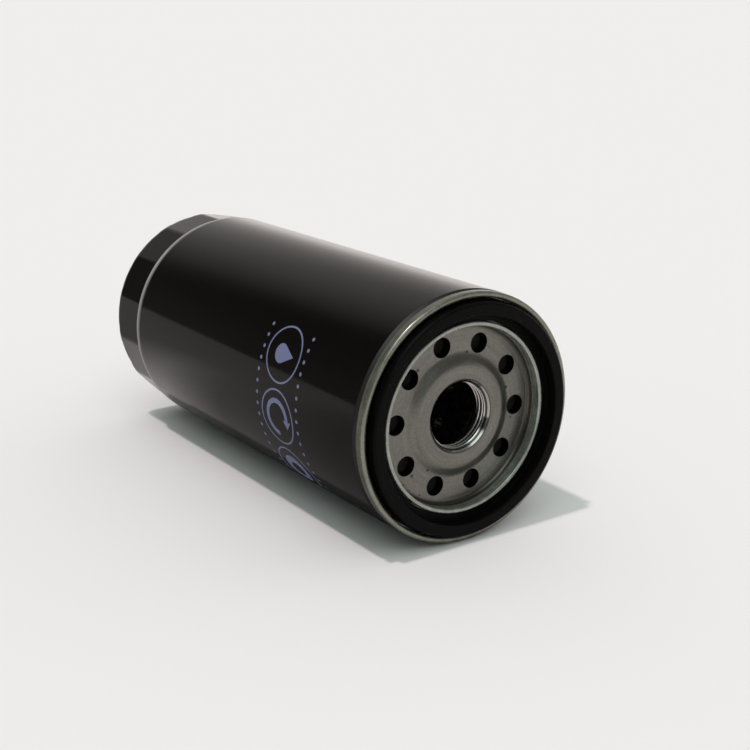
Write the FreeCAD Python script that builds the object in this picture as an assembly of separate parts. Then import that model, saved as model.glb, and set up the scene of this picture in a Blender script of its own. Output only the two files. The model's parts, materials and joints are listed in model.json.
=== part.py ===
import FreeCAD, Part
import math
import os
from FreeCAD import Vector

# Spin-on oil filter lying on its side, in millimetres. X is the filter's axis and points out of
# the open end, Z is up. The origin is on the axis, where the full thread starts behind the mouth's
# chamfer, and every x below is measured from there. Angles run from +Y towards +Z.

# Can: drawn steel cup, its closed end rolled into flats for a strap or cap wrench
can_radius = 54.0
can_wall = 0.5
can_length = 227.0          # from the thread's start to the closed end
flat_count = 15
flat_turn = 20.0            # angle of the first corner between two flats
flat_inset = 1.3            # of the corners between flats inside the round can
flat_length = 27.5
shoulder_round = 4.0        # where the round can steps down to the flats
end_round = 7.0
end_recess_inset = 2.5      # of the recess inside the support spring
end_recess_depth = 2.0
end_recess_round = 1.0

# Double seam that joins the can and the lid, five layers of sheet thick
seam_inset = 0.1            # of the seam inside the round can
seam_height = 4.1
seam_rise = 4.9             # of the seam's top over the channel's floor
seam_play = 0.03            # between layers
seam_bend = 0.15            # inside radius of a fold
seam_hem = 1.0              # how far each hook stops short of the fold it points at
neck_length = 2.2           # where the can draws in under the seam

# Threaded base plate, pressed from thick sheet
thread_major = 30.0
thread_pitch = 2.0
thread_bore = 28.2          # across the crests, the widest that the thread's class allows
thread_angle = 60.0
thread_root_flat = thread_pitch / 8
mouth_radius = 16.0
mouth_chamfer = 2.0
hub_slope = 5.3             # radial width of the slope between the hub and the floor
hub_foot_inset = 3.6        # of the slope's foot inside the circle of oil holes
hub_rise = 2.6
plate_thickness = 4.5
plate_clearance = 0.6       # from the plate's edge to the can's neck
rim_rise = 2.8              # of the plate's rim over the floor that holds the oil holes
rim_fillet = 1.9
rim_round = 0.3
plate_round = 0.8           # of the pressed plate's other corners
mouth_round = 0.15
rim_relief = 1.6            # width of the slope under the rim
oil_hole_count = 10
oil_hole_radius = 4.25
oil_hole_margin = 3.45      # from the holes to the rim
oil_hole_turn = -2.5

# Lid: sheet ring welded to the plate's rim, forming the gasket's channel
lid_sheet = 0.5
lip_width = 1.9
channel_width = 10.08       # from the lip to the channel's outer wall
lip_rise = 3.55             # over the channel's floor
lip_ledge = 0.2             # of the plate's rim inside the lip

# Sealing gasket
gasket_width = 5.4
gasket_height = 8.2
gasket_outer_gap = 1.2      # from the gasket's rib to the channel's outer wall
gasket_round = 1.3
gasket_inner_round = 0.6
gasket_base_height = 2.6
gasket_base_gap = 0.4       # from the gasket's base to each wall of the channel
gasket_base_round = 0.3

# Anti-drain valve behind the oil holes: rubber disc, steel backing and light spring
drain_margin = 1.5          # of the disc beyond the oil holes
drain_guide_gap = 0.8       # from the disc to the neck seal that guides it
drain_disc_thickness = 1.6
drain_backing_thickness = 0.8
drain_backing_inset = 1.2
drain_travel = 2.5
drain_spring_pressed = 4.5  # height of the spring with the valve wide open
drain_spring_wire = 1.1
drain_spring_turns = 2.5
seat_gap = 0.1              # between flat faces of pieces that move apart

# Element: pleated media between two caps, on a perforated tube
element_clearance = 4.05    # from the caps to the flats' inside
element_travel = 3.0
element_pressed_gap = 15.0  # from the rear cap to the closed end, with the element pushed back
cap_sheet = 0.6
cap_skirt = 7.0
cap_bend = 0.8
potting_thickness = 3.0
media_bury = 1.5            # depth of the media's ends in the potting
media_clearance = 0.6       # from the media to the cap's skirt and to the tube
media_sheet = 0.7
pleat_count = 60
tube_radius = 23.0
tube_wall = 0.5
tube_hole_radius = 2.5
tube_hole_rows = 8
tube_hole_pitch = 9.0
tube_hole_margin = 12.0
clip_depth = 6.0
clip_sheet = 0.4
clip_fit = 0.15
band_radius = 0.5
band_count = 7
fit_gap = 0.15              # between pieces that are fixed to each other round a curve

# Neck: the front cap's collar and the rubber ring that seals it on the plate
collar_radius = 20.6
collar_height = 5.0
neck_seal_thickness = 1.7
neck_seal_round = 0.4

# Bypass valve in the rear cap
port_radius = 8.5
bypass_seal_inner = 6.0
bypass_disc_radius = 13.0
bypass_seal_thickness = 1.5
bypass_disc_thickness = 1.0
bypass_travel = 4.0
stem_radius = 3.0
stem_clearance = 0.3
stem_reach = 3.0            # of the stem beyond the cage at rest
cage_radius = 16.0
cage_sheet = 0.8
cage_foot = 3.0
cage_window_count = 4
cage_window_width = 13.0
cage_window_margin = 3.5
bypass_spring_radius = 6.5
bypass_spring_wire = 1.2
bypass_spring_turns = 6.0
bypass_spring_pressed = 12.5

# Bends and spring ends that the pressed pieces and the springs share
pressing_bend = 0.3
spring_grind = 0.25         # share of the wire ground off each end

# Support spring between the rear cap and the closed end, in a pressed cup
support_spring_radius = 26.0
support_spring_wire = 3.0
support_spring_turns = 2.25
spring_cup_sheet = 0.8
spring_cup_skirt = 4.0
spring_cup_clearance = 0.5
spring_cup_flange = 3.0

# Stations along the axis, worked out from the sizes above
mouth_x = mouth_chamfer
floor_x = mouth_x - hub_rise
under_x = floor_x - plate_thickness
rim_x = floor_x + rim_rise
rim_under_x = rim_x - plate_thickness
channel_x = rim_x + lid_sheet
lip_x = channel_x + lip_rise
gasket_x = channel_x + gasket_height
seam_x = channel_x + seam_rise
end_x = -can_length
drain_x = under_x - seat_gap
backing_x = drain_x - drain_disc_thickness
drain_spring_x = backing_x - drain_backing_thickness
front_cap_x = drain_spring_x - drain_spring_pressed - drain_travel
front_cap_inside_x = front_cap_x - cap_sheet
rear_cap_x = end_x + can_wall + element_pressed_gap + element_travel
rear_cap_inside_x = rear_cap_x + cap_sheet
media_front_x = front_cap_inside_x - potting_thickness + media_bury
media_rear_x = rear_cap_inside_x + potting_thickness - media_bury
bypass_seal_x = rear_cap_inside_x + seat_gap
bypass_disc_x = bypass_seal_x + bypass_seal_thickness
bypass_spring_x = bypass_disc_x + bypass_disc_thickness
cage_x = bypass_spring_x + bypass_spring_pressed + bypass_travel + cage_sheet

# Radii of the can's outside, and of the double seam's layers as sheet centrelines from the outside in
flat_corner_radius = can_radius - flat_inset
seam_radius = can_radius - seam_inset
layer_pitch = (lid_sheet + can_wall) / 2 + seam_play
skirt_r = seam_radius - lid_sheet / 2
can_hook_r = skirt_r - layer_pitch
lid_hook_r = can_hook_r - layer_pitch
neck_r = lid_hook_r - layer_pitch
chuck_r = neck_r - layer_pitch
channel_outer = chuck_r - lid_sheet / 2
plate_radius = neck_r - can_wall / 2 - plate_clearance

# Other radii, worked out from the can inwards
lip_inner_radius = channel_outer - channel_width - lip_width
oil_hole_circle = lip_inner_radius - lip_ledge - oil_hole_margin - oil_hole_radius
hub_foot_radius = oil_hole_circle - hub_foot_inset
hub_flat_radius = hub_foot_radius - hub_slope
end_recess_radius = support_spring_radius - support_spring_wire / 2 - end_recess_inset
element_radius = flat_corner_radius * math.cos(math.pi / flat_count) - can_wall - element_clearance
neck_seal_inner = collar_radius + fit_gap
neck_seal_outer = neck_seal_inner + neck_seal_thickness
drain_inner = neck_seal_outer + drain_guide_gap
drain_outer = oil_hole_circle + oil_hole_radius + drain_margin
cap_inner = element_radius - cap_sheet
media_outer = cap_inner - media_clearance
media_inner = tube_radius + media_clearance

axis_x = Vector(1, 0, 0)
zero = Vector(0, 0, 0)


def point(x, r):
    return Vector(x, r, 0)


def revolve(wire):
    return Part.Face(wire).revolve(zero, axis_x, 360)


def ring(*corners):
    """Solid of revolution about the axis from the (x, radius) corners of its section."""
    return revolve(Part.makePolygon([point(*c) for c in corners + (corners[0],)]))


def tube(x0, x1, inner, outer):
    return ring((x0, inner), (x1, inner), (x1, outer), (x0, outer))


def rod(x0, x1, radius):
    return Part.makeCylinder(radius, x1 - x0, point(x0, 0), axis_x)


def rounded(corners, radii, closed=True):
    """Edges through the (x, radius) corners, each corner rounded with its own radius."""
    pts = [point(*c) for c in corners]
    count = len(pts)
    starts, ends = [], []
    arcs = []
    for i, p in enumerate(pts):
        if radii[i] == 0 or (not closed and i in (0, count - 1)):
            starts.append(p)
            ends.append(p)
            arcs.append(None)
            continue
        a = (pts[i - 1] - p).normalize()
        b = (pts[(i + 1) % count] - p).normalize()
        half = a.getAngle(b) / 2
        cut = radii[i] / math.tan(half)
        middle = p + (a + b).normalize() * (radii[i] / math.sin(half) - radii[i])
        starts.append(p + a * cut)
        ends.append(p + b * cut)
        arcs.append(Part.Arc(starts[i], middle, ends[i]).toShape())
    edges = []
    for i in range(count if closed else count - 1):
        if arcs[i]:
            edges.append(arcs[i])
        after = (i + 1) % count
        if ends[i].distanceToPoint(starts[after]) > 1e-6:
            edges.append(Part.makeLine(ends[i], starts[after]))
    return edges


def rounded_ring(corners, radii):
    return revolve(Part.Wire(rounded(corners, radii)))


def sheet_ring(path, thickness, inside_bend):
    """Bent sheet turned about the axis. The path is the sheet's centreline, (x, radius) points."""
    pts = [point(*c) for c in path]
    dirs = [(b - a).normalize() for a, b in zip(pts, pts[1:])]
    normals = [Vector(-d.y, d.x, 0) for d in dirs]
    sides = []
    for side in (1, -1):
        shift = side * thickness / 2
        corners = [pts[0] + normals[0] * shift]
        radii = [0]
        for i in range(1, len(dirs)):
            bisector = (normals[i - 1] + normals[i]).normalize()
            corners.append(pts[i] + bisector * (shift / bisector.dot(normals[i])))
            turn = dirs[i - 1].x * dirs[i].y - dirs[i - 1].y * dirs[i].x
            inner = turn * side > 0
            radii.append(inside_bend if inner else inside_bend + thickness)
        corners.append(pts[-1] + normals[-1] * shift)
        radii.append(0)
        sides.append((corners, radii))
    corners = sides[0][0] + sides[1][0][::-1]
    radii = sides[0][1] + sides[1][1][::-1]
    return rounded_ring([(c.x, c.y) for c in corners], radii)


def around(count, first, make):
    """Copies of a piece made on the +Y side, turned about the axis."""
    copies = []
    for i in range(count):
        copy = make()
        copy.rotate(zero, axis_x, first + 360.0 * i / count)
        copies.append(copy)
    return copies


def polygon(x, corner_radius, count, first):
    """Closed regular polygon across the axis."""
    pts = []
    for i in range(count + 1):
        angle = math.radians(first + 360.0 * i / count)
        pts.append(Vector(x, corner_radius * math.cos(angle), corner_radius * math.sin(angle)))
    return Part.makePolygon(pts)


def helix(pitch, x0, x1, radius):
    path = Part.makeHelix(pitch, x1 - x0, radius)
    path.rotate(zero, Vector(0, 1, 0), 90)
    path.translate(point(x0, 0))
    return path


def sweep_round(path, radius):
    """Round bar along a helix."""
    first = path.Edges[0]
    start = first.valueAt(first.FirstParameter)
    section = Part.Wire(Part.makeCircle(radius, start, first.tangentAt(first.FirstParameter)))
    return Part.Wire(path.Edges).makePipeShell([section], True, True)


def spring(mean_radius, wire, x0, x1, turns):
    """Compression spring with its ends ground flat at x0 and x1."""
    bite = wire * spring_grind
    height = x1 - x0 - 2 * bite
    coil = sweep_round(helix(height / turns, x0 + bite, x0 + bite + height, mean_radius), wire / 2)
    reach = mean_radius + wire
    return coil.common(Part.makeBox(x1 - x0, 2 * reach, 2 * reach, Vector(x0, -reach, -reach)))


def make_can():
    step_x = end_x + flat_length
    join_x = step_x + 3 * shoulder_round

    def closed_end(inset):
        # the round body up to its step, and the many-sided end behind it
        outer = can_radius - inset
        corner = flat_corner_radius - inset
        back = end_x + inset
        recess_r = end_recess_radius + inset
        body = revolve(Part.Wire(rounded(
            [(join_x, 0), (join_x, outer), (step_x + inset, outer), (step_x + inset, 0)],
            [0, 0, shoulder_round - inset, 0])))
        end = revolve(Part.Wire(rounded(
            [(join_x, 0), (join_x, corner), (back, corner), (back, recess_r),
             (back + end_recess_depth, recess_r - end_recess_depth), (back + end_recess_depth, 0)],
            [0, 0, end_round - inset, end_recess_round, end_recess_round, 0])))
        # the flats of the inside lie one wall within those of the outside
        prism_r = flat_corner_radius - inset / math.cos(math.pi / flat_count)
        prism = Part.Face(polygon(back, prism_r, flat_count, flat_turn))
        return body.fuse(end.common(prism.extrude(point(join_x - back, 0))))

    rear = closed_end(0).cut(closed_end(can_wall))
    mid_r = can_radius - can_wall / 2
    seam_foot_x = seam_x - seam_height
    top_x = seam_x - lid_sheet - seam_play - can_wall / 2
    front = sheet_ring([(join_x, mid_r), (seam_foot_x - neck_length, mid_r),
                        (seam_foot_x - seam_play, neck_r), (top_x, neck_r),
                        (top_x, can_hook_r), (seam_foot_x + seam_hem, can_hook_r)],
                       can_wall, seam_bend)
    return rear.fuse(front).removeSplitter()


def make_lid():
    mid = lid_sheet / 2
    lip_in = lip_inner_radius + mid
    lip_out = lip_inner_radius + lip_width - mid
    floor = rim_x + mid
    foot = seam_x - seam_height + mid
    top = seam_x - mid
    hook_end = seam_x - lid_sheet - can_wall - seam_play - seam_hem
    return sheet_ring([(rim_x, lip_in), (lip_x - mid, lip_in), (lip_x - mid, lip_out),
                       (floor, lip_out), (floor, chuck_r), (top, chuck_r), (top, skirt_r),
                       (foot, skirt_r), (foot, lid_hook_r), (hook_end, lid_hook_r)],
                      lid_sheet, seam_bend)


def make_seam_sealant():
    # fills the fold over the lid's hook
    top = seam_x - lid_sheet - can_wall - 2 * seam_play
    low = seam_x - lid_sheet - can_wall - seam_hem + seam_play
    inner, outer = lid_hook_r - lid_sheet / 2, lid_hook_r + lid_sheet / 2
    return rounded_ring([(low, inner), (top, inner), (top, outer), (low, outer)],
                        [0, seam_bend, seam_bend, 0])


def thread_groove():
    """Solid helix that cuts the thread's grooves into the bore."""
    crest = thread_bore / 2
    root = thread_major / 2
    flank = math.tan(math.radians(thread_angle / 2))
    root_half = thread_root_flat / 2
    over = 0.4              # how far the cutter stands inside the crests
    mouth_half = root_half + (root - crest + over) * flank
    start_x = under_x - 2 * thread_pitch
    path = helix(thread_pitch, start_x, mouth_x + 2 * thread_pitch, crest)
    first = path.Edges[0].valueAt(path.Edges[0].FirstParameter)
    out = Vector(0, first.y, first.z).normalize()

    def corner(dx, r):
        return Vector(start_x + dx, 0, 0) + out * r

    section = Part.makePolygon([corner(-mouth_half, crest - over), corner(-root_half, root),
                                corner(root_half, root), corner(mouth_half, crest - over),
                                corner(-mouth_half, crest - over)])
    return Part.Wire(path.Edges).makePipeShell([section], True, True)


def make_tapping_plate():
    bore = thread_bore / 2
    inner_wall = lip_inner_radius - lip_ledge
    # the dome's side is two equal arcs, one each way
    bend = (hub_slope ** 2 + hub_rise ** 2) / (4 * hub_rise)
    turn = math.asin(hub_slope / 2 / bend)
    mid = turn / 2
    top_arc = Part.Arc(
        point(mouth_x, hub_flat_radius),
        point(mouth_x - bend * (1 - math.cos(mid)), hub_flat_radius + bend * math.sin(mid)),
        point(mouth_x - hub_rise / 2, hub_flat_radius + hub_slope / 2)).toShape()
    low_arc = Part.Arc(
        point(mouth_x - hub_rise / 2, hub_flat_radius + hub_slope / 2),
        point(floor_x + bend * (1 - math.cos(mid)), hub_foot_radius - bend * math.sin(mid)),
        point(floor_x, hub_foot_radius)).toShape()
    rest = rounded(
        [(floor_x, hub_foot_radius), (floor_x, inner_wall), (rim_x, inner_wall),
         (rim_x, plate_radius), (rim_under_x, plate_radius),
         (rim_under_x, inner_wall + rim_relief), (under_x, inner_wall),
         (under_x, bore), (0, bore), (mouth_x, mouth_radius), (mouth_x, hub_flat_radius)],
        [0, rim_fillet, rim_round, plate_round, plate_round, plate_round, plate_round, 0, 0,
         mouth_round, 0], closed=False)
    plate = revolve(Part.Wire(Part.__sortEdges__([top_arc, low_arc] + rest)))
    plate = plate.cut(thread_groove())
    holes = around(oil_hole_count, oil_hole_turn, lambda: Part.makeCylinder(
        oil_hole_radius, plate_thickness + 2 * hub_rise,
        point(under_x - hub_rise, oil_hole_circle), axis_x))
    return plate.cut(holes)


def make_sealing_gasket():
    base_in = lip_inner_radius + lip_width + gasket_base_gap
    base_out = channel_outer - gasket_base_gap
    rib_out = channel_outer - gasket_outer_gap
    rib_in = rib_out - gasket_width
    step_x = channel_x + gasket_base_height
    small = gasket_base_round
    return rounded_ring(
        [(channel_x, base_in), (step_x, base_in), (step_x, rib_in), (gasket_x, rib_in),
         (gasket_x, rib_out), (step_x, rib_out), (step_x, base_out), (channel_x, base_out)],
        [small, small, small, gasket_inner_round, gasket_round, small, small, small])


def make_anti_drain_disc():
    return tube(backing_x, drain_x, drain_inner, drain_outer)


def make_anti_drain_backing():
    return tube(drain_spring_x, backing_x, drain_inner, drain_outer - drain_backing_inset)


def make_anti_drain_spring():
    mean = (drain_inner + drain_outer) / 2
    return spring(mean, drain_spring_wire, front_cap_x, drain_spring_x, drain_spring_turns)


def make_front_cap():
    mid = cap_sheet / 2
    return sheet_ring([(front_cap_x + collar_height, collar_radius - mid),
                       (front_cap_x - mid, collar_radius - mid),
                       (front_cap_x - mid, element_radius - mid),
                       (front_cap_x - cap_skirt, element_radius - mid)], cap_sheet, cap_bend)


def make_neck_seal():
    # fits over the cap's collar and bears on the plate's underside
    foot = front_cap_x + cap_bend + cap_sheet
    over = front_cap_x + collar_height + seat_gap
    top = under_x - seat_gap
    lip = collar_radius - cap_sheet
    edge = neck_seal_round
    return rounded_ring(
        [(foot, neck_seal_inner), (over, neck_seal_inner), (over, lip), (top, lip),
         (top, neck_seal_outer), (foot, neck_seal_outer)], [0, 0, 0, edge, edge, edge])


def make_rear_cap():
    mid = cap_sheet / 2
    return sheet_ring([(rear_cap_x + mid, port_radius), (rear_cap_x + mid, element_radius - mid),
                       (rear_cap_x + cap_skirt, element_radius - mid)], cap_sheet, cap_bend)


def make_media_pack():
    """Folded sheet of constant thickness, run round the axis between the tube and the caps' skirts."""
    outer, inner = [], []

    def place(loop, angle, r, across):
        out = Vector(0, math.cos(angle), math.sin(angle))
        loop.append(point(media_rear_x, 0) + out * r + axis_x.cross(out) * across)

    for i in range(pleat_count):
        crest = 2 * math.pi * i / pleat_count
        valley = crest + math.pi / pleat_count
        place(outer, crest, media_outer, -media_sheet)
        place(outer, crest, media_outer, media_sheet)
        place(outer, valley, media_inner + media_sheet, 0)
        place(inner, crest, media_outer - media_sheet, 0)
        place(inner, valley, media_inner, -media_sheet)
        place(inner, valley, media_inner, media_sheet)
    run = point(media_front_x - media_rear_x, 0)
    outside, inside = [Part.Face(Part.makePolygon(loop + loop[:1])).extrude(run)
                       for loop in (outer, inner)]
    return outside.cut(inside)


def make_potting(cap_inside_x, inward, media):
    """Resin cast in a cap round the ends of the media and the tube."""
    deep_x = cap_inside_x + inward * potting_thickness
    inner = tube_radius + fit_gap / 2
    body = rounded_ring([(cap_inside_x, inner), (cap_inside_x, cap_inner), (deep_x, cap_inner),
                         (deep_x, inner)], [0, cap_bend, 0, 0])
    return body.cut(media)


def make_centre_tube():
    shell = tube(rear_cap_inside_x, front_cap_inside_x, tube_radius - tube_wall, tube_radius)
    drills = []
    first_x = rear_cap_inside_x + tube_hole_margin
    last_x = front_cap_inside_x - tube_hole_margin
    rows = int((last_x - first_x) / tube_hole_pitch) + 1
    for row in range(rows):
        stagger = 180.0 / tube_hole_rows * (row % 2)
        drills += around(tube_hole_rows, stagger, lambda: Part.makeCylinder(
            tube_hole_radius, 2 * tube_wall + tube_hole_radius,
            Vector(first_x + row * tube_hole_pitch, tube_radius - tube_wall - tube_hole_radius, 0),
            Vector(0, 1, 0)))
    return shell.cut(Part.makeCompound(drills))


def make_pleat_clip():
    """Channel pressed over one fold, where the sheet's two ends meet."""
    front_x = front_cap_inside_x - potting_thickness - fit_gap
    rear_x = rear_cap_inside_x + potting_thickness + fit_gap
    widen = (media_inner * math.sin(math.pi / pleat_count) - media_sheet) / (media_outer - media_inner)
    half = media_sheet + widen * clip_depth + clip_fit
    top = media_outer + clip_fit
    low = media_outer - clip_depth
    length = front_x - rear_x
    outside = Part.makeBox(length, top + clip_sheet - low, 2 * (half + clip_sheet),
                           Vector(rear_x, low, -half - clip_sheet))
    inside = Part.makeBox(length, top - low, 2 * half, Vector(rear_x, low, -half))
    return outside.cut(inside)


def make_pleat_bands():
    """Beads of roving laid round the folds and over the clip, to keep the folds apart."""
    mean = media_outer + clip_fit + clip_sheet + fit_gap + band_radius
    rear_x = rear_cap_x + cap_skirt
    spacing = (front_cap_x - cap_skirt - rear_x) / (band_count + 1)
    return Part.makeCompound([
        Part.makeTorus(mean, band_radius, point(rear_x + spacing * (i + 1), 0), axis_x)
        for i in range(band_count)])


def make_bypass_seal():
    return tube(bypass_seal_x, bypass_disc_x, bypass_seal_inner, bypass_disc_radius)


def make_bypass_disc():
    stem = rod(bypass_disc_x, cage_x + stem_reach, stem_radius)
    return rod(bypass_disc_x, bypass_spring_x, bypass_disc_radius).fuse(stem).removeSplitter()


def make_bypass_cage():
    mid = cage_sheet / 2
    cage = sheet_ring([(cage_x - mid, stem_radius + stem_clearance), (cage_x - mid, cage_radius - mid),
                       (rear_cap_inside_x + mid, cage_radius - mid),
                       (rear_cap_inside_x + mid, cage_radius + cage_foot)], cage_sheet, pressing_bend)
    low = rear_cap_inside_x + cage_window_margin
    windows = around(cage_window_count, 0, lambda: Part.makeBox(
        cage_x - cage_window_margin - low, cage_radius, cage_window_width,
        Vector(low, cage_radius / 2, -cage_window_width / 2)))
    return cage.cut(windows)


def make_bypass_spring():
    return spring(bypass_spring_radius, bypass_spring_wire, bypass_spring_x,
                  cage_x - cage_sheet, bypass_spring_turns)


def make_spring_cup():
    mid = spring_cup_sheet / 2
    wall = support_spring_radius + support_spring_wire / 2 + spring_cup_clearance + mid
    return sheet_ring([(rear_cap_x - mid, port_radius + spring_cup_flange), (rear_cap_x - mid, wall),
                       (rear_cap_x - spring_cup_skirt, wall)], spring_cup_sheet, pressing_bend)


def make_support_spring():
    return spring(support_spring_radius, support_spring_wire, end_x + can_wall,
                  rear_cap_x - spring_cup_sheet - seat_gap, support_spring_turns)


def export(name, shape):
    whole = shape.Solids[0] if len(shape.Solids) == 1 else Part.makeCompound(shape.Solids)
    whole.exportStep("parts/" + name + ".step")
    print(f"{name:20s} {len(whole.Solids)} solid, {len(whole.Faces):4d} faces, "
          f"{whole.Volume:9.1f} mm3, {'valid' if whole.isValid() else 'NOT VALID'}")


media_pack = make_media_pack()
nodes = {
    "can": make_can(),
    "seaming_lid": make_lid(),
    "seam_sealant": make_seam_sealant(),
    "tapping_plate": make_tapping_plate(),
    "sealing_gasket": make_sealing_gasket(),
    "anti_drain_disc": make_anti_drain_disc(),
    "anti_drain_backing": make_anti_drain_backing(),
    "anti_drain_spring": make_anti_drain_spring(),
    "neck_seal": make_neck_seal(),
    "front_end_cap": make_front_cap(),
    "front_potting": make_potting(front_cap_inside_x, -1, media_pack),
    "media_pack": media_pack,
    "pleat_clip": make_pleat_clip(),
    "pleat_bands": make_pleat_bands(),
    "centre_tube": make_centre_tube(),
    "rear_potting": make_potting(rear_cap_inside_x, 1, media_pack),
    "rear_end_cap": make_rear_cap(),
    "bypass_seal": make_bypass_seal(),
    "bypass_disc": make_bypass_disc(),
    "bypass_spring": make_bypass_spring(),
    "bypass_cage": make_bypass_cage(),
    "spring_cup": make_spring_cup(),
    "support_spring": make_support_spring(),
}
os.makedirs("parts", exist_ok=True)
for name, shape in nodes.items():
    export(name, shape)
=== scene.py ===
# Spin-on oil filter on its side: finishes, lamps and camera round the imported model.
# Lengths in the dictionaries are millimetres and angles are degrees. The filter's axis is X, with its
# open end at the high side, and turns round it go from +Y towards +Z.
import json
import math

import bmesh
import bpy
from mathutils import Matrix, Vector

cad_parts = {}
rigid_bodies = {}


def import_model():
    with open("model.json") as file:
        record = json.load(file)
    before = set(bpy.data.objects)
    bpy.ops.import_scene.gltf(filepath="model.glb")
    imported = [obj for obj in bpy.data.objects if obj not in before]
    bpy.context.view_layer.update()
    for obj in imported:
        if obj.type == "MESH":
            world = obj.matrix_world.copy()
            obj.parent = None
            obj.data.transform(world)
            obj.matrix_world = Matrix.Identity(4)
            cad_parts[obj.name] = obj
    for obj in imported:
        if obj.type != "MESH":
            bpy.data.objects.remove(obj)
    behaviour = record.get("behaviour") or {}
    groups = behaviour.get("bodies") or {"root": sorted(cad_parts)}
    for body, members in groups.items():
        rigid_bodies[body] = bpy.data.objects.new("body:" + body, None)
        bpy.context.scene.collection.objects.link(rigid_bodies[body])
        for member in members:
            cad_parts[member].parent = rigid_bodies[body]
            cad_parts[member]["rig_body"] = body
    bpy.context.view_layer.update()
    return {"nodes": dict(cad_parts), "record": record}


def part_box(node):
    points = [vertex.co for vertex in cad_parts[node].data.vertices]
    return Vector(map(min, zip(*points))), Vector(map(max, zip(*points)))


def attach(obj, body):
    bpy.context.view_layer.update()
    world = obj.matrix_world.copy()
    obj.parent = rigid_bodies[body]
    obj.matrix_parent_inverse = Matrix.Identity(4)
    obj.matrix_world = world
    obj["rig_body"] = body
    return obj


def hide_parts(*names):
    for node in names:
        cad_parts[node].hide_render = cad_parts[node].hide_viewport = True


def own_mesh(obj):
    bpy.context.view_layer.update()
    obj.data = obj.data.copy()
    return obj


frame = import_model()
scene = bpy.context.scene
mm = 0.001
print("frame loaded:", len(frame["nodes"]), "nodes")

cameraSet = {
    "place": (403.3, -322.3, 175.3),
    "forward": (-0.7851, 0.5457, -0.2930),
    "lens": 62.65,
    "sensor": 36.0,
    "nearest": 10.0,
    "farthest": 50000.0,
}


def makeCamera():
    data = bpy.data.cameras.new("camera")
    data.lens = cameraSet["lens"]
    data.sensor_width = cameraSet["sensor"]
    data.clip_start = cameraSet["nearest"] * mm
    data.clip_end = cameraSet["farthest"] * mm
    camera = bpy.data.objects.new("camera", data)
    camera.location = Vector(cameraSet["place"]) * mm
    camera.rotation_euler = Vector(cameraSet["forward"]).to_track_quat("-Z", "Y").to_euler()
    scene.collection.objects.link(camera)
    scene.camera = camera


makeCamera()
scene.view_settings.view_transform = "Standard"
print("camera made")


def fill(tree, made, values):
    # a value is a plain number or colour, or a socket to link
    for key, value in values.items():
        if isinstance(value, bpy.types.NodeSocket):
            tree.links.new(value, made.inputs[key])
        else:
            made.inputs[key].default_value = value


def node(tree, kind, values=None, **settings):
    made = tree.nodes.new(kind)
    for key, value in settings.items():
        setattr(made, key, value)
    fill(tree, made, values or {})
    return made


def calc(tree, operation, a, b=0.0, clamp=False):
    return node(tree, "ShaderNodeMath", {0: a, 1: b}, operation=operation, use_clamp=clamp).outputs[0]


def diagonal(tree, a, b):
    squares = calc(tree, "ADD", calc(tree, "MULTIPLY", a, a), calc(tree, "MULTIPLY", b, b))
    return calc(tree, "SQRT", squares)


def ramp(tree, value, low, high, start=0.0, end=1.0):
    made = node(tree, "ShaderNodeMapRange",
                {"Value": value, "From Min": low, "From Max": high, "To Min": start, "To Max": end})
    return made.outputs["Result"]


def rampBy(tree, value, level, edge):
    # from 0 to 1 across an edge, whose two ends are given from the level
    return ramp(tree, value, level + edge[0], level + edge[1])


def blendColour(tree, share, first, second, kind="MIX"):
    ends = [value if isinstance(value, bpy.types.NodeSocket) else (*value, 1)
            for value in (first, second)]
    made = node(tree, "ShaderNodeMix", {0: share, 6: ends[0], 7: ends[1]}, data_type="RGBA",
                blend_type=kind)
    return made.outputs[2]


def grey(tree, value):
    return node(tree, "ShaderNodeCombineColor", {0: value, 1: value, 2: value}).outputs[0]


def bump(tree, height, depth):
    return node(tree, "ShaderNodeBump", {"Height": height, "Distance": depth * mm}).outputs["Normal"]


def newGroup(name, inputs, outputs):
    tree = bpy.data.node_groups.new(name, "ShaderNodeTree")
    for direction, sockets in (("INPUT", inputs), ("OUTPUT", outputs)):
        for title, kind in sockets:
            tree.interface.new_socket(title, in_out=direction, socket_type="NodeSocket" + kind)
    return tree, node(tree, "NodeGroupInput").outputs, node(tree, "NodeGroupOutput").inputs


def useGroup(tree, name, values):
    return node(tree, "ShaderNodeGroup", values, node_tree=bpy.data.node_groups[name]).outputs


noiseRange = (0.3, 0.7)     # where most of a noise's values lie


def groupAxisPlace():
    # where a point lies along and round the filter's axis
    tree, given, out = newGroup("axisPlace", [("Point", "Vector")],
                                [("Along", "Float"), ("Radius", "Float"), ("Turn", "Float")])
    parts = node(tree, "ShaderNodeSeparateXYZ", {0: given["Point"]}).outputs
    across = node(tree, "ShaderNodeCombineXYZ", {"Y": parts["Y"], "Z": parts["Z"]}).outputs[0]
    length = node(tree, "ShaderNodeVectorMath", {0: across}, operation="LENGTH").outputs["Value"]
    turn = calc(tree, "DEGREES", calc(tree, "ARCTAN2", parts["Z"], parts["Y"]))
    tree.links.new(calc(tree, "DIVIDE", parts["X"], mm), out["Along"])
    tree.links.new(calc(tree, "DIVIDE", length, mm), out["Radius"])
    tree.links.new(calc(tree, "FLOORED_MODULO", turn, 360.0), out["Turn"])


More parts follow.
